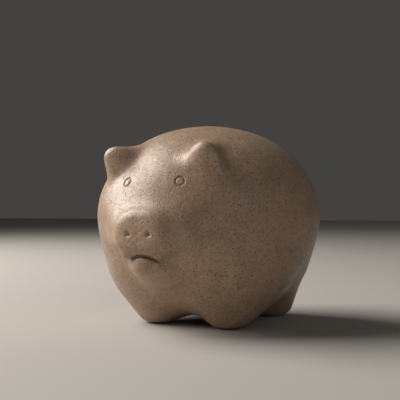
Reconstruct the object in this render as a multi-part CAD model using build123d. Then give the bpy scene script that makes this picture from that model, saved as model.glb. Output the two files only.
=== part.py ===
from build123d import *

import os
from math import atan2, degrees, sqrt

# A hand-built stoneware piggy bank. Millimetres, +Z up, head towards -Y, the pig's left side
# at +X. The origin lies on the table, under the middle of the bounding box.

# Body: two thick clay bowls, luted rim to rim round one hollow
BODY_RADIUS = 47.8
BODY_HALF_HEIGHT = 39.5
FLANK_RADIUS = 36.0
BODY_Y = 1.7
BODY_Z = 46.0
WALL = 4.5
SEAM_Y = -7.0

# Coin slot along the spine, and a thick ring of clay round the hole in the belly, both for a
# coin up to 26 mm across
SLOT_WIDTH = 5.0
SLOT_LENGTH = 28.0
SLOT_Y = 16.0
HOLE_RADIUS = 13.2
HOLE_Y = 12.5
RING_RADIUS = 18.0
RING_BOTTOM_Z = 8.0
RING_TOP_Z = 14.5

# Rubber stopper: its neck slides in the hole, and its flange meets the ring
STOPPER_GAP = 0.05
NECK_ABOVE_RING = 1.5
NECK_CHAMFER = 1.2
FLANGE_RADIUS = 15.6
FLANGE_THICKNESS = 2.0
GRIP_RADIUS = 8.5
GRIP_DEPTH = 7.0
GRIP_BAR = 3.2

# Muzzle: a broad oval with two nostrils, over a small lower lip
MUZZLE_HALF_WIDTH = 10.2
MUZZLE_HALF_HEIGHT = 8.6
MUZZLE_Z = 38.8
MUZZLE_FRONT_Y = -52.0
MUZZLE_ROUNDING = 4.0
NOSTRIL_X = 4.55
NOSTRIL_RADIUS = 0.9
NOSTRIL_DEPTH = 1.6
LIP_Y = -41.6
LIP_Z = 29.0
LIP_RADIUS = 5.2

# Eyes: rings stamped in the wet clay
EYE_X = 12.0
EYE_Z = 59.6
EYE_RADIUS = 2.05
EYE_GROOVE = 0.6
EYE_DEPTH = 0.7

# Ears: blunt leaning triangles, hollowed in front; the left one's corners on its front face
EAR_INNER = Vector(7.5, -35.3, 70.3)
EAR_OUTER = Vector(26.5, -34.3, 58.6)
EAR_TIP = Vector(23.0, -39.6, 73.2)
EAR_THICKNESS = 8.0
EAR_ROOT = 9.0
EAR_ROUNDING = 3.2
EAR_CUP_RADIUS = 13.0
EAR_CUP_DEPTH = 1.6

# Legs: four stubs that flare into the belly
FOOT_X = 16.5
FRONT_FOOT_Y = -10.3
REAR_FOOT_Y = 33.0
FOOT_RADIUS = 10.5
FOOT_ROUNDING = 2.0
THIGH_X = 13.0
FRONT_THIGH_Y = -9.0
FRONT_THIGH_Z = 26.0
FRONT_THIGH_RADIUS = 23.0
REAR_THIGH_Y = 24.0
REAR_THIGH_Z = 30.0
REAR_THIGH_RADIUS = 17.3

# Tail: a short curl pressed onto the rump
TAIL_RADIUS = 1.9
TAIL_BACK_Y = 52.0
TAIL_Z = 52.0
TAIL_CURL = 3.6
TAIL_CURL_ARC = 230.0
TAIL_STEM = 9.0
TAIL_STEM_ARC = 60.0


def oval_body(shrink):
    """The body's oval turned about the vertical and drawn in by shrink: a cap, a flank, a cap."""
    flank_x = BODY_RADIUS - FLANK_RADIUS
    slack = BODY_HALF_HEIGHT - FLANK_RADIUS
    cap_radius = (flank_x**2 + BODY_HALF_HEIGHT**2 - FLANK_RADIUS**2) / (2 * slack)
    cap_offset = cap_radius - BODY_HALF_HEIGHT
    join = degrees(atan2(cap_offset, flank_x))
    pole = BODY_HALF_HEIGHT - shrink
    outline = [
        Line((0, -pole), (0, pole)),
        CenterArc((0, -cap_offset), cap_radius - shrink, join, 90 - join),
        CenterArc((flank_x, 0), FLANK_RADIUS - shrink, 0, join),
        CenterArc((flank_x, 0), FLANK_RADIUS - shrink, 360 - join, join),
        CenterArc((0, cap_offset), cap_radius - shrink, 270, 90 - join),
    ]
    half = make_face(Wire([line.edge() for line in outline]))
    return Pos(0, BODY_Y, BODY_Z) * Rot(0, 0, -90) * revolve(Plane.XZ * half, Axis.Z)


def body_front(x, z):
    """The Y of the front of the body's flank at x and z."""
    radius = BODY_RADIUS - FLANK_RADIUS + sqrt(FLANK_RADIUS**2 - (z - BODY_Z) ** 2)
    return BODY_Y - sqrt(radius**2 - x**2)


def half_space(direction):
    """Everything in front of the seam, direction -1, or behind it, direction 1."""
    side = 4 * BODY_RADIUS
    return Pos(0, SEAM_Y + direction * side / 2, BODY_Z) * Box(side, side, side)


def mirrored(shape):
    return mirror(shape, about=Plane.YZ)


def eye_ring():
    """The ring that stamps the left eye, square to the face's surface."""
    spot = Vector(EYE_X, body_front(EYE_X, EYE_Z), EYE_Z)
    level = Vector(EYE_X, spot.Y - BODY_Y, 0)
    flank_centre = level.normalized() * (BODY_RADIUS - FLANK_RADIUS)
    outward = level - flank_centre + Vector(0, 0, EYE_Z - BODY_Z)
    ring = Circle(EYE_RADIUS) - Circle(EYE_RADIUS - EYE_GROOVE)
    return extrude(Plane(origin=spot, z_dir=outward) * ring, amount=EYE_DEPTH, both=True)


def head_shell(outer, inner):
    stamp = eye_ring()
    return (outer & half_space(-1)) - inner - stamp - mirrored(stamp)


def upright_disc(radius, bottom, top):
    """A disc on the axis of the belly hole."""
    return Pos(0, HOLE_Y, (bottom + top) / 2) * Cylinder(radius, top - bottom)


def rump_shell(outer, inner):
    slot = Pos(0, SLOT_Y, BODY_Z + BODY_HALF_HEIGHT) * Box(SLOT_WIDTH, SLOT_LENGTH, BODY_HALF_HEIGHT)
    shell = (outer & half_space(1)) - inner - slot
    return shell - upright_disc(RING_RADIUS, 0, RING_TOP_Z) - upright_disc(HOLE_RADIUS, 0, BODY_Z)


def belly_ring():
    ring = upright_disc(RING_RADIUS, RING_BOTTOM_Z, RING_TOP_Z)
    return ring - upright_disc(HOLE_RADIUS, 0, BODY_Z)


def muzzle(outer):
    depth = body_front(0, MUZZLE_Z) - MUZZLE_FRONT_Y + 2 * MUZZLE_ROUNDING
    face = Plane(origin=(0, MUZZLE_FRONT_Y, MUZZLE_Z), x_dir=(1, 0, 0), z_dir=(0, -1, 0))
    oval = face * Ellipse(MUZZLE_HALF_WIDTH, MUZZLE_HALF_HEIGHT)
    snout = extrude(oval, amount=-depth)
    snout = fillet(snout.faces().sort_by(Axis.Y)[0].edges(), MUZZLE_ROUNDING)
    for side in (-1, 1):
        nostril = face * Pos(side * NOSTRIL_X, 0) * Circle(NOSTRIL_RADIUS)
        snout -= extrude(nostril, amount=-NOSTRIL_DEPTH)
    return snout - outer


def lower_lip(outer, snout):
    return Pos(0, LIP_Y, LIP_Z) * Sphere(LIP_RADIUS) - outer - snout


def ear_left(outer):
    middle = (EAR_INNER + EAR_OUTER) * 0.5
    base = EAR_OUTER - EAR_INNER
    face = Plane(origin=middle, x_dir=base, z_dir=base.cross(EAR_TIP - middle))
    tip = face.to_local_coords(EAR_TIP)
    half = base.length / 2
    corners = [(-half, -EAR_ROOT), (half, -EAR_ROOT), (half, 0), (tip.X, tip.Y), (-half, 0)]
    plate = extrude(face * make_face(Polyline(*corners, close=True)), amount=-EAR_THICKNESS)
    through = [e for e in plate.edges() if abs(e.length - EAR_THICKNESS) < 0.01]
    rounded = sorted(through, key=lambda e: (e.center() - EAR_TIP).length)[:1]
    plate = fillet(rounded, EAR_ROUNDING)
    cup_centre = (tip.X * 0.5, tip.Y * 0.3, EAR_CUP_RADIUS - EAR_CUP_DEPTH)
    cup = face * Pos(*cup_centre) * Sphere(EAR_CUP_RADIUS)
    return plate - cup - outer


def leg_left(outer, foot_y, thigh_y, thigh_z, thigh_radius):
    foot = Pos(FOOT_X, foot_y, 0) * Circle(FOOT_RADIUS)
    thigh = Pos(THIGH_X, thigh_y, thigh_z) * Circle(thigh_radius)
    limb = loft([foot, thigh], ruled=True)
    limb = fillet(limb.faces().sort_by(Axis.Z)[0].edges(), FOOT_ROUNDING)
    return limb - outer - upright_disc(RING_RADIUS, 0, RING_TOP_Z)


def tail(outer):
    """A curl in the plane of the rump, from its tip round to the end of its stem."""
    back = TAIL_BACK_Y - TAIL_RADIUS
    plane = Plane(origin=(0, back, TAIL_Z), x_dir=(-1, 0, 0), z_dir=(0, 1, 0))
    curl = CenterArc((0, 0), TAIL_CURL, -TAIL_CURL_ARC, TAIL_CURL_ARC)
    stem = CenterArc((TAIL_CURL - TAIL_STEM, 0), TAIL_STEM, 0, TAIL_STEM_ARC)
    path = plane * Wire([curl.edge(), stem.edge()])
    section = Plane(origin=path @ 0, z_dir=path % 0) * Circle(TAIL_RADIUS)
    tip = Pos(*(path @ 0)) * Sphere(TAIL_RADIUS)
    end = Pos(*(path @ 1)) * Sphere(TAIL_RADIUS)
    return sweep(section, path) + tip + end - outer


def belly_stopper():
    neck_top = RING_TOP_Z + NECK_ABOVE_RING
    neck = upright_disc(HOLE_RADIUS - STOPPER_GAP, RING_BOTTOM_Z, neck_top)
    neck = chamfer(neck.faces().sort_by(Axis.Z)[-1].edges(), NECK_CHAMFER)
    flange_bottom = RING_BOTTOM_Z - FLANGE_THICKNESS
    flange = upright_disc(FLANGE_RADIUS, flange_bottom, RING_BOTTOM_Z)
    recess = upright_disc(GRIP_RADIUS, flange_bottom, flange_bottom + GRIP_DEPTH)
    bar = Pos(0, HOLE_Y, flange_bottom + GRIP_BAR / 2) * Box(2 * GRIP_RADIUS, GRIP_BAR, GRIP_BAR)
    return neck + flange - (recess - bar)


outer_body = oval_body(0)
hollow = oval_body(WALL)
snout = muzzle(outer_body)
nodes = {
    "head_shell": head_shell(outer_body, hollow),
    "rump_shell": rump_shell(outer_body, hollow),
    "belly_ring": belly_ring(),
    "muzzle": snout,
    "lower_lip": lower_lip(outer_body, snout),
    "tail": tail(outer_body),
    "belly_stopper": belly_stopper(),
}
pairs = {
    "ear": ear_left(outer_body),
    "leg_front": leg_left(
        outer_body, FRONT_FOOT_Y, FRONT_THIGH_Y, FRONT_THIGH_Z, FRONT_THIGH_RADIUS
    ),
    "leg_rear": leg_left(outer_body, REAR_FOOT_Y, REAR_THIGH_Y, REAR_THIGH_Z, REAR_THIGH_RADIUS),
}
for name, left in pairs.items():
    nodes[f"{name}_left"] = left
    nodes[f"{name}_right"] = mirrored(left)

os.makedirs("parts", exist_ok=True)
for name, shape in nodes.items():
    export_step(shape, f"parts/{name}.step")
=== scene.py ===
import math

import bmesh
import bpy
import numpy as np
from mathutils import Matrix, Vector


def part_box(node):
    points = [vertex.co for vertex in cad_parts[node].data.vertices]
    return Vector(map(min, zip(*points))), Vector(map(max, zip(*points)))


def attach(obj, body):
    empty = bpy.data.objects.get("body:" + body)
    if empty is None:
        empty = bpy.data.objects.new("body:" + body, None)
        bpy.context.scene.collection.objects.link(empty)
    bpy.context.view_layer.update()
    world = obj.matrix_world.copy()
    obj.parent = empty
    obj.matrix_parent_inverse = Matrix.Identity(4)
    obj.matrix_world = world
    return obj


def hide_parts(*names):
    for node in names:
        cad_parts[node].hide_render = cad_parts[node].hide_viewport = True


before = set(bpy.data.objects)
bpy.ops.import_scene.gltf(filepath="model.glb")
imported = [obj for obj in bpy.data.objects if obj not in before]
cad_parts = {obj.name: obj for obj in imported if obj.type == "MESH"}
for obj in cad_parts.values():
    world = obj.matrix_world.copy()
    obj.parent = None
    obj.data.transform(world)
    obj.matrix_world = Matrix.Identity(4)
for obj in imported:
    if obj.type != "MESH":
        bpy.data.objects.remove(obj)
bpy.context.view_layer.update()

# The clay is sculpted as one signed distance field in millimetres, in the frame's axes:
# +Z up, head towards -Y, the pig's left side at +X. Negative is inside the clay.
METRES = 0.001


def box_mm(*nodes):
    """Lowest corner, highest corner and centre of the box round some CAD nodes, in millimetres."""
    corners = [np.array(corner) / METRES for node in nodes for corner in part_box(node)]
    low, high = np.min(corners, axis=0), np.max(corners, axis=0)
    return low, high, (low + high) / 2


# ---------------------------------------------------------------- distance field tools


def smooth_min(a, b, blend):
    """The union of two shapes, with a fillet about blend wide and no line at its edge."""
    overlap = np.maximum(1 - np.abs(a - b) / (1.5 * blend), 0)
    return np.minimum(a, b) - overlap**3 * blend / 4


def smooth_max(a, b, blend):
    """The intersection of two shapes, with a rounded edge."""
    return -smooth_min(-a, -b, blend)


def smooth_step(value, low, high):
    """0 below low and 1 above high, with a soft change between them."""
    t = np.clip((value - low) / (high - low), 0, 1)
    return t * t * (3 - 2 * t)


def unit(vector):
    vector = np.array(vector, float)
    return vector / np.linalg.norm(vector)


def ellipsoid(points, centre, radii):
    offset = points - np.array(centre)
    near = np.linalg.norm(offset / radii, axis=-1)
    far = np.linalg.norm(offset / np.square(radii), axis=-1)
    return near * (near - 1) / np.maximum(far, 1e-9)


def round_cone(points, start, end, start_radius, end_radius):
    """A solid with a ball at each end and straight sides that touch both."""
    start, end = np.array(start, float), np.array(end, float)
    line = end - start
    length_sq = line @ line
    taper = start_radius - end_radius
    side_sq = length_sq - taper**2
    offset = points - start
    along = offset @ line
    beyond = along - length_sq
    across_sq = ((offset * length_sq - along[..., None] * line) ** 2).sum(-1)
    along_sq, beyond_sq = along**2 * length_sq, beyond**2 * length_sq
    lean = np.sign(taper) * taper**2 * across_sq
    side = (np.sqrt(across_sq * side_sq / length_sq) + along * taper) / length_sq - start_radius
    at_end = np.sign(beyond) * side_sq * beyond_sq > lean
    at_start = ~at_end & (np.sign(along) * side_sq * along_sq < lean)
    end_ball = np.sqrt(across_sq + beyond_sq) / length_sq - end_radius
    start_ball = np.sqrt(across_sq + along_sq) / length_sq - start_radius
    return np.where(at_end, end_ball, np.where(at_start, start_ball, side))


def upright_disc(points, centre, radius, low, high, edge):
    """A disc about the vertical through centre, with its rims rounded."""
    rim = np.hypot(points[..., 0] - centre[0], points[..., 1] - centre[1]) - radius
    faces = np.maximum(low - points[..., 2], points[..., 2] - high)
    return smooth_max(rim, faces, edge)


def add_near(distance, points, centre, reach, change):
    """Applies change(distance, points) only to the points within reach of centre."""
    near = ((points - np.array(centre)) ** 2).sum(-1) < reach**2
    if near.any():
        distance[near] = change(distance[near], points[near])
    return distance


# ---------------------------------------------------------------- the shape of the pig

shell_low, shell_high, body_centre = box_mm("head_shell", "rump_shell")
BODY_HALF_HEIGHT = 39.5
BODY_Z = shell_high[2] - BODY_HALF_HEIGHT
WALL = 4.5
EGG_Y = body_centre[1] + 2.2
EGG_RADIUS_X = (shell_high[0] - shell_low[0]) / 2 + 0.1
EGG_FRONT, EGG_BACK = 49.8, 45.4
EGG_TOP, EGG_BOTTOM = 38.8, 40.5
EGG_SOFTNESS = 12.0


def egg(points):
    """The round body: an ellipsoid with a different radius forwards, backwards, up and down."""
    centre = np.array([0, EGG_Y, BODY_Z])
    offset = points - centre
    to_back = smooth_step(offset[..., 1], -EGG_SOFTNESS, EGG_SOFTNESS)
    to_top = smooth_step(offset[..., 2], -EGG_SOFTNESS, EGG_SOFTNESS)
    radii = np.stack([
        np.full_like(to_back, EGG_RADIUS_X),
        EGG_FRONT + (EGG_BACK - EGG_FRONT) * to_back,
        EGG_BOTTOM + (EGG_TOP - EGG_BOTTOM) * to_top,
    ], -1)
    return ellipsoid(points, centre, radii)


# Legs: middle of the hip, middle of the foot, radius at the hip, radius at the foot
FRONT_LEG = (16.0, -6.5, 27), (16.7, -10.3, 7.5), 24, 9.8
REAR_LEG = (14.0, 20.0, 28), (16.5, 33.0, 7.8), 23, 9.8
LEG_BLEND = 8

# Swellings: centre, radii, blend
RUMP = (0, 20, 52), (34, 27, 31), 6
BELLY = (0, -6, 17), (12, 18, 11.8), 5
CHEEK = (12.6, -39.4, 40.8), (6.2, 5.4, 6.4), 7
CHIN = (0, -37.5, 26.5), (9.0, 5.5, 8.0), 8
LOWER_LIP = (0, -42.0, 28.2), (7.8, 7.2, 5.4), 5


def swell(distance, points, centre, radii, blend):
    return smooth_min(distance, ellipsoid(points, centre, radii), blend)


def trunk(points):
    """Body, legs and belly; points are folded so that X is the distance from the middle."""
    distance = swell(egg(points), points, *RUMP)
    for leg in (FRONT_LEG, REAR_LEG):
        distance = smooth_min(distance, round_cone(points, *leg), LEG_BLEND)
    return swell(distance, points, *BELLY)


muzzle_low, _, muzzle_centre = box_mm("muzzle")
MUZZLE_HALF_WIDTH, MUZZLE_SPREAD = 11.3, 0.10
MUZZLE_RISE, MUZZLE_DROP = 9.2, 12.0
MUZZLE_SQUARENESS = 2.6
MUZZLE_ROUNDING = 4.6
MUZZLE_FRONT = muzzle_low[1] + 0.8
MUZZLE_BACK = -26
MUZZLE_TILT = 0.05
MOUTH_Z, MOUTH_ARCH, MOUTH_HALF_WIDTH = 31.3, 4.0, 8.5
MOUTH_LINE_DEPTH, MOUTH_LINE_WIDTH, MOUTH_LINE_DROP = 0.5, 0.5, 0.4
MOUTH_CORNER = np.array([9.0, -44.6, 28.4])
MOUTH_CORNER_DEPTH, MOUTH_CORNER_RADIUS = 1.8, 2.0
SNOUT_FILLET_BELOW, SNOUT_FILLET_ABOVE = 1.2, 8.5


def mouth_height(x):
    """The mouth is an arch that droops at its corners."""
    return MOUTH_Z - MOUTH_ARCH * (x / MOUTH_HALF_WIDTH) ** 2


def muzzle(points):
    """A rounded square snout, broader below, whose lower edge is the arch of the mouth."""
    x = points[..., 0]
    height = points[..., 2] - muzzle_centre[2]
    half_width = MUZZLE_HALF_WIDTH - MUZZLE_SPREAD * height
    half_height = np.where(height > 0, MUZZLE_RISE, MUZZLE_DROP)
    power = MUZZLE_SQUARENESS
    ring = ((x / half_width) ** power + np.abs(height / half_height) ** power) ** (1 / power)
    front = MUZZLE_FRONT - points[..., 1] - MUZZLE_TILT * height + 0.4 * (x / 10) ** 2
    snout = smooth_max((ring - 1) * 9.0, front, MUZZLE_ROUNDING)
    snout = smooth_max(snout, (mouth_height(x) - points[..., 2]) * 0.8, 2.6)
    return smooth_max(snout, points[..., 1] - MUZZLE_BACK, 4)


def face(distance, points):
    """Cheeks, chin and muzzle. Only the mouth's edge meets the chin in a crease."""
    x, y, z = points[..., 0], points[..., 1], points[..., 2]
    for swelling in (CHEEK, CHIN, LOWER_LIP):
        distance = swell(distance, points, *swelling)
    wider = (SNOUT_FILLET_ABOVE - SNOUT_FILLET_BELOW) * smooth_step(z, 30.0, 36.0)
    distance = smooth_min(distance, muzzle(points), SNOUT_FILLET_BELOW + wider)
    across = (z - mouth_height(x) + MOUTH_LINE_DROP) / MOUTH_LINE_WIDTH
    between_corners = smooth_step(MOUTH_HALF_WIDTH + 1 - x, 0, 2) * (y < -38)
    line = MOUTH_LINE_DEPTH * np.exp(-(across**2)) * between_corners
    away = np.linalg.norm(points - MOUTH_CORNER, axis=-1) / MOUTH_CORNER_RADIUS
    return distance + np.maximum(line, MOUTH_CORNER_DEPTH * np.exp(-(away**2)))


EAR_FLATNESS = 0.62
EAR_BLEND = 3.0


def make_ear(inner, outer, tip, base_radius, tip_radius):
    """A flattened cone, pressed slightly hollow in front, whose back runs into the head."""
    root = (np.array(inner) + outer) / 2
    across = unit(np.array(outer) - inner)
    front = unit(np.cross(across, tip - root))
    axes = np.stack([across, np.cross(front, across), front])
    tip_x, tip_y, _ = axes @ (tip - root)

    def ear(distance, points):
        local = (points - root) @ axes.T / np.array([1, 1, EAR_FLATNESS])
        end = (tip_x, tip_y + 0.2 - tip_radius, -3.6)
        cone = round_cone(local, (base_radius - 9.1, -4.0, -5.0), end, base_radius, tip_radius)
        thumb = round_cone(local, (-0.6, -4.0, 9.6), (tip_x - 1.0, tip_y - 6.6, 8.9), 7.4, 5.6)
        hollowed = smooth_max(cone * 0.8, -thumb * 0.8, 1.6)
        back = round_cone(points, (19.0, -33.4, 69.4), (15.0, -24.0, 68.0), 4.7, 7.4)
        return smooth_min(distance, smooth_min(hollowed, back, EAR_BLEND), EAR_BLEND)

    return ear


# The ears were formed by hand, so they differ a little.
left_ear = make_ear((9.6, -36.4, 67.0), (24.0, -34.0, 61.0), (22.6, -40.0, 72.2), 9.3, 4.5)
right_ear = make_ear((9.3, -36.0, 68.0), (25.6, -34.4, 59.3), (23.5, -40.2, 72.0), 10.4, 5.4)
EAR_MIDDLE = np.array([18.0, -33.0, 67.0])

EYE = np.array([12.0, -40.6, 59.2])
EYE_AXIS = unit([0.30, -0.87, 0.40])
EYE_RING_RADIUS, EYE_RING_WIDTH, EYE_RING_DEPTH = 1.78, 0.36, 0.46
NOSTRIL = np.array([4.6, MUZZLE_FRONT, 39.3])
NOSTRIL_RADIUS, NOSTRIL_DEPTH = 0.85, 0.95


def eye_ring(distance, points):
    """A ring pressed into the clay."""
    offset = points - EYE
    depth = offset @ EYE_AXIS
    radius = np.sqrt(np.maximum((offset**2).sum(-1) - depth**2, 0))
    across = (radius - EYE_RING_RADIUS) / EYE_RING_WIDTH
    return distance + EYE_RING_DEPTH * np.exp(-(across**2))


def nostril(distance, points):
    """A small round dimple."""
    radius = np.hypot(points[..., 0] - NOSTRIL[0], points[..., 2] - NOSTRIL[2])
    return distance + NOSTRIL_DEPTH * np.exp(-((radius / NOSTRIL_RADIUS) ** 2))


_, tail_high, tail_centre = box_mm("tail")
TAIL_POINTS = 22
TAIL_START, TAIL_TURN = math.radians(-60), math.radians(400)
TAIL_TIP_RADIUS, TAIL_GROWTH = 1.2, 0.9


def tail_line():
    """A curl that opens out from its tip and runs into the rump."""
    line = []
    for step in range(TAIL_POINTS):
        t = step / (TAIL_POINTS - 1)
        angle = TAIL_START + TAIL_TURN * t
        radius = 2.2 + 3.6 * t
        y = tail_high[1] - 2.2 - 0.9 * t
        line.append((radius * math.cos(angle), y, tail_centre[2] + radius * math.sin(angle)))
    return line


def tail(distance, points):
    line = tail_line()
    curl = np.full(len(points), 1e3)
    radii = [TAIL_TIP_RADIUS + TAIL_GROWTH * step / TAIL_POINTS for step in range(TAIL_POINTS)]
    for start, end, thin, thick in zip(line, line[1:], radii, radii[1:]):
        curl = np.minimum(curl, round_cone(points, start, end, thin, thick))
    return smooth_min(distance, curl, 1.2)


stopper_low, stopper_high, stopper_centre = box_mm("belly_stopper")
ring_low, ring_high, ring_centre = box_mm("belly_ring")
RING_RADIUS = (ring_high[0] - ring_low[0]) / 2
HOLE_RADIUS = 13.3
SLOT_HALF = np.array([2.5, 14.0])
SLOT_Y = 16.0


def hollow(points):
    """The coin chamber, less the thick ring round the belly hole."""
    ring = upright_disc(points, ring_centre, RING_RADIUS, 0, ring_high[2], 1.5)
    return smooth_max(egg(points) + WALL, -ring, 2.0)


def coin_slot(points):
    sides = np.abs(points[..., :2] - np.array([0, SLOT_Y])) - SLOT_HALF + 1.0
    outline = np.linalg.norm(np.maximum(sides, 0), axis=-1) + np.minimum(sides.max(-1), 0) - 1.0
    return np.maximum(outline, BODY_Z - points[..., 2])


def undulation(points):
    """The slight unevenness of a form worked by hand."""
    x, y, z = points[..., 0], points[..., 1], points[..., 2]
    broad = np.sin(x / 11.0 + 0.7) * np.sin(y / 13.0 + 1.9) * np.sin(z / 10.0 + 0.4)
    close = np.sin(x / 4.7 + 2.1) * np.sin(y / 5.3 + 0.3) * np.sin(z / 4.9 + 1.2)
    return 0.28 * broad + 0.07 * close


def pig(points):
    """The whole fired clay body."""
    folded = points.copy()
    folded[..., 0] = np.abs(folded[..., 0])
    distance = trunk(folded)
    distance = add_near(distance, folded, muzzle_centre, 30, face)
    for ear, side in ((left_ear, points), (right_ear, points * np.array([-1, 1, 1]))):
        distance = add_near(distance, side, EAR_MIDDLE, 24, ear)
    distance = add_near(distance, points, tail_centre, 14, tail)
    distance = distance + undulation(points)
    distance = add_near(distance, folded, EYE, 4, eye_ring)
    distance = add_near(distance, folded, NOSTRIL, 4, nostril)
    distance = smooth_max(distance, -points[..., 2], 3.0)
    ring = upright_disc(points, ring_centre, RING_RADIUS, ring_low[2], ring_high[2], 1.5)
    distance = smooth_min(distance, ring, 2.5)
    under = upright_disc(points, ring_centre, RING_RADIUS - 0.6, -50, ring_low[2], 0.1)
    distance = smooth_max(distance, -under, 1.2)
    distance = smooth_max(distance, -hollow(points), 0.6)
    hole = upright_disc(points, ring_centre, HOLE_RADIUS, -50, BODY_Z, 0.1)
    distance = smooth_max(distance, -hole, 1.0)
    return smooth_max(distance, -coin_slot(points), 1.4)


# ---------------------------------------------------------------- from distance field to mesh

CORNERS = [(i, j, k) for i in (0, 1) for j in (0, 1) for k in (0, 1)]
CHUNK = 400_000


def evaluate(shape, points):
    parts = [shape(points[i:i + CHUNK]) for i in range(0, len(points), CHUNK)]
    return np.concatenate(parts)


def gradient(shape, points, step=0.04):
    columns = []
    for axis in range(3):
        shift = np.zeros(3)
        shift[axis] = step
        rise = evaluate(shape, points + shift) - evaluate(shape, points - shift)
        columns.append(rise / (2 * step))
    return np.stack(columns, -1)


def settle(shape, points, reach, rounds=3):
    """Moves points straight onto the surface, by no more than reach each round."""
    for _ in range(rounds):
        slope = gradient(shape, points)
        size = np.maximum((slope**2).sum(-1), 0.05)
        step = evaluate(shape, points) / size
        move = slope * step[:, None]
        length = np.linalg.norm(move, axis=-1, keepdims=True)
        points = points - move * np.minimum(1, reach / np.maximum(length, 1e-9))
    return points


def fill_diagonals(values):
    """Joins parts that touch only across a grid square's diagonal, and would share an edge."""
    filled = 1
    while filled:
        filled = 0
        for plane in ((0, 1), (0, 2), (1, 2)):
            view = np.moveaxis(values, plane, (0, 1))
            pair, other = (view[:-1, :-1], view[1:, 1:]), (view[1:, :-1], view[:-1, 1:])
            for (a, b), (c, d) in ((pair, other), (other, pair)):
                touching = (a >= 0) & (b >= 0) & (c < 0) & (d < 0)
                a[touching] = -0.01
                filled += touching.sum()


def surface_net(shape, low, high, pitch):
    """Quads round the surface: one point in each grid cell that it crosses."""
    counts = np.ceil((np.array(high) - low) / pitch).astype(int) + 1
    axes = [low[a] + pitch * np.arange(counts[a]) for a in range(3)]
    grid = np.stack(np.meshgrid(*axes, indexing="ij"), -1)
    values = evaluate(shape, grid.reshape(-1, 3)).reshape(counts)
    fill_diagonals(values)
    inside = values < 0
    near = sum(
        inside[i:counts[0] - 1 + i, j:counts[1] - 1 + j, k:counts[2] - 1 + k].astype(int)
        for i, j, k in CORNERS
    )
    cells = np.argwhere((near > 0) & (near < 8))
    total, crossings = np.zeros((len(cells), 3)), np.zeros(len(cells))
    for a in CORNERS:
        for b in CORNERS:
            if sum(b) - sum(a) != 1 or min(np.subtract(b, a)) < 0:
                continue
            value_a = values[tuple((cells + a).T)]
            value_b = values[tuple((cells + b).T)]
            crossed = (value_a < 0) != (value_b < 0)
            t = np.where(crossed, value_a / np.where(crossed, value_a - value_b, 1), 0)
            total += (np.array(a) + t[:, None] * np.subtract(b, a)) * crossed[:, None]
            crossings += crossed
    points = low + pitch * (cells + total / crossings[:, None])
    index = np.full(counts, -1)
    index[tuple(cells.T)] = np.arange(len(cells))
    quads = []
    for axis in range(3):
        beside, behind = np.roll(np.eye(3, dtype=int), -axis, axis=0)[1:]
        first = np.take(inside, range(counts[axis] - 1), axis)
        second = np.take(inside, range(1, counts[axis]), axis)
        starts = np.argwhere(first != second)
        steps = (0 * beside, beside, beside + behind, behind)
        quad = np.stack([index[tuple((starts - step).T)] for step in steps], -1)
        leaving = first[tuple(starts.T)]
        quads.append(np.where(leaving[:, None], quad, quad[:, ::-1]))
    return points, np.concatenate(quads)


def make_object(name, points, faces):
    """A smooth-shaded object from points in millimetres."""
    mesh = bpy.data.meshes.new(name)
    mesh.from_pydata((points * METRES).tolist(), [], faces)
    mesh.shade_smooth()
    piece = bpy.data.objects.new(name, mesh)
    bpy.context.scene.collection.objects.link(piece)
    return piece


def points_of(mesh):
    flat = np.empty(len(mesh.vertices) * 3)
    mesh.vertices.foreach_get("co", flat)
    return flat.reshape(-1, 3) / METRES


def refine(piece, shape, wanted, reach):
    """Splits the faces where wanted(points) is true, and settles them onto the shape again."""
    chosen = wanted(points_of(piece.data))
    net = bmesh.new()
    net.from_mesh(piece.data)
    net.verts.ensure_lookup_table()
    edges = {
        edge
        for index in np.flatnonzero(chosen)
        for edge in net.verts[index].link_edges
        if chosen[edge.verts[0].index] and chosen[edge.verts[1].index]
    }
    bmesh.ops.subdivide_edges(net, edges=list(edges), cuts=1, use_grid_fill=True)
    net.to_mesh(piece.data)
    net.free()
    points = points_of(piece.data)
    moving = wanted(points)
    points[moving] = settle(shape, points[moving], reach)
    piece.data.vertices.foreach_set("co", (points * METRES).ravel())
    piece.data.update()


def mouth_line():
    """Points along the arch of the mouth, on the chin."""
    x = np.linspace(-9.5, 9.5, 12)
    return np.stack([x, np.full_like(x, -46.3), mouth_height(x)], -1)


def mirrored(point):
    return np.array(point) * np.array([-1, 1, 1])


def within(points, centres, reach):
    """Which points lie within reach of any of the centres."""
    hits = [((points - centre) ** 2).sum(-1) < reach**2 for centre in centres]
    return np.any(hits, axis=0)


def slot_edge(points):
    """The rim of the coin slot, outside and inside."""
    top = points[..., 2] > BODY_Z + 24
    return top & (np.abs(coin_slot(points)) < 1.6)


def fine_spots(points):
    """Where the clay has small marks: eyes, nostrils, mouth and the coin slot's rim."""
    eyes = within(points, [EYE, mirrored(EYE)], 3.4)
    nostrils = within(points, [NOSTRIL, mirrored(NOSTRIL)], 2.6)
    return eyes | nostrils | within(points, mouth_line(), 3.0) | slot_edge(points)


def finest_spots(points):
    """The smallest marks: eyes and nostrils."""
    eyes = within(points, [EYE, mirrored(EYE)], 2.9)
    return eyes | within(points, [NOSTRIL, mirrored(NOSTRIL)], 2.0)


def curled_spots(points):
    """The tail, and the rump round it."""
    return within(points, [tail_centre], 11.0)


CLAY_PITCH, RUBBER_PITCH = 1.0, 0.35
MARGIN = 2.5


def sculpt(name, shape, low, high, pitch):
    points, quads = surface_net(shape, low - MARGIN, high + MARGIN, pitch)
    points = settle(shape, points, pitch / 2)
    return make_object(name, points, quads.tolist())


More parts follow.
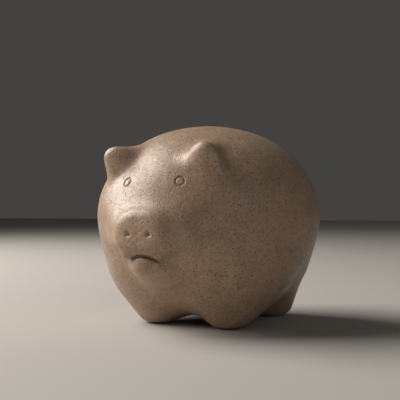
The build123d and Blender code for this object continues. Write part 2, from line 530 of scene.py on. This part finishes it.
def make_clay():
    nodes = [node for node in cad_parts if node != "belly_stopper"]
    low, high, _ = box_mm(*nodes)
    skin = sculpt("clay_body", pig, low, high, CLAY_PITCH)
    refine(skin, pig, lambda p: fine_spots(p) | curled_spots(p), CLAY_PITCH / 4)
    refine(skin, pig, fine_spots, CLAY_PITCH / 8)
    refine(skin, pig, finest_spots, CLAY_PITCH / 16)
    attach(skin, "pig")
    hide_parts(*nodes)
    return skin


# ---------------------------------------------------------------- the stopper

NECK_RADIUS = 13.1
RIB_HEIGHT, RIB_PROUD = 1.0, 0.35
FLANGE_RADIUS = (stopper_high[0] - stopper_low[0]) / 2
GRIP_RADIUS, GRIP_DEPTH, GRIP_BAR = 8.5, 7.0, 3.2


def stopper(points):
    """A moulded bung: a ribbed neck, a thin flange, and a grip bar across a hollow underside."""
    bottom, top = stopper_low[2], stopper_high[2]
    shoulder = ring_low[2]
    neck_radius = NECK_RADIUS - RIB_PROUD
    distance = upright_disc(points, stopper_centre, neck_radius, shoulder - 1, top, 1.8)
    for above in (1.6, 3.6, 5.6):
        low, high = shoulder + above - RIB_HEIGHT / 2, shoulder + above + RIB_HEIGHT / 2
        rib = upright_disc(points, stopper_centre, NECK_RADIUS, low, high, 0.8)
        distance = smooth_min(distance, rib, 0.4)
    flange = upright_disc(points, stopper_centre, FLANGE_RADIUS, bottom, shoulder, 1.2)
    distance = smooth_min(distance, flange, 0.6)
    recess = upright_disc(points, stopper_centre, GRIP_RADIUS, bottom - 9, bottom + GRIP_DEPTH, 1.5)
    bar = np.maximum(
        np.abs(points[..., 1] - stopper_centre[1]) - GRIP_BAR / 2,
        np.abs(points[..., 2] - bottom - GRIP_BAR / 2) - GRIP_BAR / 2,
    )
    return smooth_max(distance, -smooth_max(recess, -bar, 0.6), 0.8)


def make_stopper():
    bung = sculpt("rubber_stopper", stopper, stopper_low, stopper_high, RUBBER_PITCH)
    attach(bung, "stopper")
    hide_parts("belly_stopper")
    return bung


# ---------------------------------------------------------------- materials


class Shader:
    """Adds and joins the nodes of one material."""

    def __init__(self, name):
        self.material = bpy.data.materials.new(name)
        self.material.use_nodes = True
        self.tree = self.material.node_tree
        self.surface = self.tree.nodes["Principled BSDF"]
        self.place = self.add("ShaderNodeTexCoord").outputs["Object"]

    def add(self, kind, inputs=(), **settings):
        node = self.tree.nodes.new(kind)
        for key, value in settings.items():
            setattr(node, key, value)
        for key, value in dict(inputs).items():
            if isinstance(value, bpy.types.NodeSocket):
                self.tree.links.new(value, node.inputs[key])
            else:
                node.inputs[key].default_value = value
        return node

    def noise(self, size, detail=2.0, roughness=0.5):
        """Noise whose blobs are about size metres across."""
        inputs = {"Vector": self.place, "Scale": 1 / size, "Detail": detail, "Roughness": roughness}
        return self.add("ShaderNodeTexNoise", inputs).outputs["Fac"]

    def remap(self, value, low, high, to_low=0.0, to_high=1.0):
        inputs = {0: value, 1: low, 2: high, 3: to_low, 4: to_high}
        return self.add("ShaderNodeMapRange", inputs).outputs[0]

    def math(self, operation, a, b=0.0):
        return self.add("ShaderNodeMath", {0: a, 1: b}, operation=operation).outputs[0]

    def mix(self, factor, a, b, blend_type="MIX"):
        inputs = {"Factor": factor, 6: a, 7: b}
        node = self.add("ShaderNodeMix", inputs, data_type="RGBA", blend_type=blend_type)
        return node.outputs[2]

    def spots(self, spacing, radius, share):
        """1 inside scattered round spots, of which only a share of the places has one."""
        inputs = {"Vector": self.place, "Scale": 1 / spacing}
        cells = self.add("ShaderNodeTexVoronoi", inputs)
        spot = self.remap(cells.outputs["Distance"], radius / spacing, 0.6 * radius / spacing)
        draw = self.add("ShaderNodeSeparateColor", {0: cells.outputs["Color"]}).outputs[0]
        return self.math("MULTIPLY", spot, self.math("LESS_THAN", draw, share))

    def attribute(self, name):
        return self.add("ShaderNodeAttribute", attribute_name=name).outputs["Fac"]

    def bump(self, height, depth, under=None):
        """A relief of about depth metres, on top of the relief under it."""
        inputs = {"Height": height, "Distance": depth, "Strength": 1.0}
        if under is not None:
            inputs["Normal"] = under
        return self.add("ShaderNodeBump", inputs).outputs[0]

    def set(self, name, value):
        if isinstance(value, bpy.types.NodeSocket):
            self.tree.links.new(value, self.surface.inputs[name])
        else:
            self.surface.inputs[name].default_value = value


def colour(red, green, blue):
    return (red, green, blue, 1.0)


def clay_material():
    """Sandy unglazed stoneware, burnished to a soft sheen."""
    clay = Shader("sandy_stoneware")
    tone = clay.remap(clay.noise(0.030, 3), 0.3, 0.7)
    base = clay.mix(tone, colour(0.345, 0.230, 0.148), colour(0.41, 0.283, 0.190))
    cloud = clay.remap(clay.noise(0.006, 5, 0.6), 0.3, 0.7, 0.88, 1.12)
    base = clay.mix(1.0, base, cloud, "MULTIPLY")
    grain = clay.noise(0.0007, 3, 0.6)
    base = clay.mix(1.0, base, clay.remap(grain, 0.3, 0.7, 0.72, 1.24), "MULTIPLY")
    sand = clay.spots(0.0019, 0.00042, 0.40)
    base = clay.mix(clay.math("MULTIPLY", sand, 0.40), base, colour(0.56, 0.45, 0.34))
    pores = clay.spots(0.0012, 0.00038, 0.70)
    base = clay.mix(clay.math("MULTIPLY", pores, 0.60), base, colour(0.13, 0.075, 0.045))
    iron = clay.spots(0.0062, 0.00055, 0.45)
    base = clay.mix(clay.math("MULTIPLY", iron, 0.85), base, colour(0.045, 0.024, 0.014))
    # Painted shade: the clay colour is darkened where the surface is closed in (mouth line, eye
    # rings, ear roots, creases).
    crevice_shade = clay.remap(clay.attribute("crevice_shade"), 0.3, 1.0, 1.0, 0.55)
    base = clay.mix(1.0, base, crevice_shade, "MULTIPLY")
    clay.set("Base Color", base)
    clay.set("Roughness", clay.remap(clay.noise(0.0035, 3), 0.3, 0.7, 0.34, 0.45))
    clay.set("Specular IOR Level", 0.5)
    relief = clay.bump(clay.noise(0.004, 4, 0.6), 0.00020)
    relief = clay.bump(grain, 0.00010, relief)
    relief = clay.bump(clay.math("MULTIPLY", pores, -1.0), 0.00008, relief)
    clay.set("Normal", relief)
    return clay.material


def rubber_material():
    """Matt black moulded rubber, a little dusty."""
    rubber = Shader("stopper_rubber")
    dust = rubber.remap(rubber.noise(0.004, 4, 0.65), 0.45, 0.75)
    base = rubber.mix(dust, colour(0.020, 0.019, 0.018), colour(0.060, 0.055, 0.048))
    rubber.set("Base Color", base)
    rubber.set("Roughness", rubber.remap(rubber.noise(0.0012, 3), 0.3, 0.7, 0.58, 0.78))
    rubber.set("Specular IOR Level", 0.35)
    rubber.set("Normal", rubber.bump(rubber.noise(0.0005, 3), 0.00006))
    return rubber.material


def floor_material():
    """Plain pale ground, seen only from above, so that the belly shows from below."""
    floor = Shader("pale_floor")
    floor.set("Base Color", colour(0.450, 0.420, 0.382))
    floor.set("Roughness", 0.8)
    clear = floor.add("ShaderNodeBsdfTransparent").outputs[0]
    below = floor.add("ShaderNodeNewGeometry").outputs["Backfacing"]
    both = floor.add("ShaderNodeMixShader", {0: below, 1: floor.surface.outputs[0], 2: clear})
    output = floor.tree.nodes["Material Output"]
    floor.tree.links.new(both.outputs[0], output.inputs["Surface"])
    return floor.material


def add_crevice(piece, shape, reach):
    """Stores how closed in each point is: the clay comes back within reach along its normal. The
    clay material darkens by it, as painted shade in creases and hollows.
    """
    points = points_of(piece.data)
    slope = gradient(shape, points)
    normal = slope / np.maximum(np.linalg.norm(slope, axis=-1, keepdims=True), 1e-6)
    openness = evaluate(shape, points + normal * reach) / reach
    values = piece.data.attributes.new("crevice_shade", "FLOAT", "POINT")
    values.data.foreach_set("value", np.clip(1 - openness, 0, 1).astype(np.float32))


# ---------------------------------------------------------------- floor, light and camera

CAMERA_AZIMUTH = math.radians(30.0)
CAMERA_DISTANCE = 0.3252
CAMERA_HEIGHT = 0.0484
CAMERA_LENS = 67.5
AIM = Vector((-0.0020, -0.0012, 0.0527))


def add_floor():
    bpy.ops.mesh.primitive_plane_add(size=6.0)
    floor = bpy.context.object
    floor.name = "floor"
    floor.data.materials.append(floor_material())


def add_softbox(name, place, size, power, tint):
    """A square lamp that faces the middle of the pig."""
    lamp = bpy.data.lights.new(name, "AREA")
    lamp.size, lamp.energy, lamp.color = size, power, tint
    softbox = bpy.data.objects.new(name, lamp)
    softbox.location = place
    softbox.rotation_euler = (AIM - Vector(place)).to_track_quat("-Z", "Y").to_euler()
    bpy.context.scene.collection.objects.link(softbox)


def add_light():
    add_softbox("key", (-0.74, -0.18, 0.60), 0.80, 17.5, (1.0, 0.97, 0.94))
    add_softbox("fill", (0.85, -0.45, 0.38), 0.70, 1.0, (0.95, 0.97, 1.0))
    world = bpy.data.worlds.new("studio")
    bpy.context.scene.world = world
    world.use_nodes = True
    backdrop = world.node_tree.nodes["Background"]
    backdrop.inputs["Color"].default_value = colour(0.80, 0.78, 0.75)
    backdrop.inputs["Strength"].default_value = 0.07


def add_camera():
    """Level with the pig's face, a little to its left."""
    data = bpy.data.cameras.new("camera")
    data.lens, data.sensor_width = CAMERA_LENS, 36.0
    camera = bpy.data.objects.new("camera", data)
    away = Vector((math.sin(CAMERA_AZIMUTH), -math.cos(CAMERA_AZIMUTH), 0))
    camera.location = Vector((AIM.x, AIM.y, CAMERA_HEIGHT)) + away * CAMERA_DISTANCE
    camera.rotation_euler = (AIM - camera.location).to_track_quat("-Z", "Y").to_euler()
    bpy.context.scene.collection.objects.link(camera)
    bpy.context.scene.camera = camera


# ---------------------------------------------------------------- the scene

CREVICE_REACH = 1.4

clay_skin = make_clay()
add_crevice(clay_skin, pig, CREVICE_REACH)
clay_skin.data.materials.append(clay_material())
rubber_bung = make_stopper()
rubber_bung.data.materials.append(rubber_material())
add_floor()
add_light()
add_camera()
bpy.context.scene.view_settings.view_transform = "Standard"
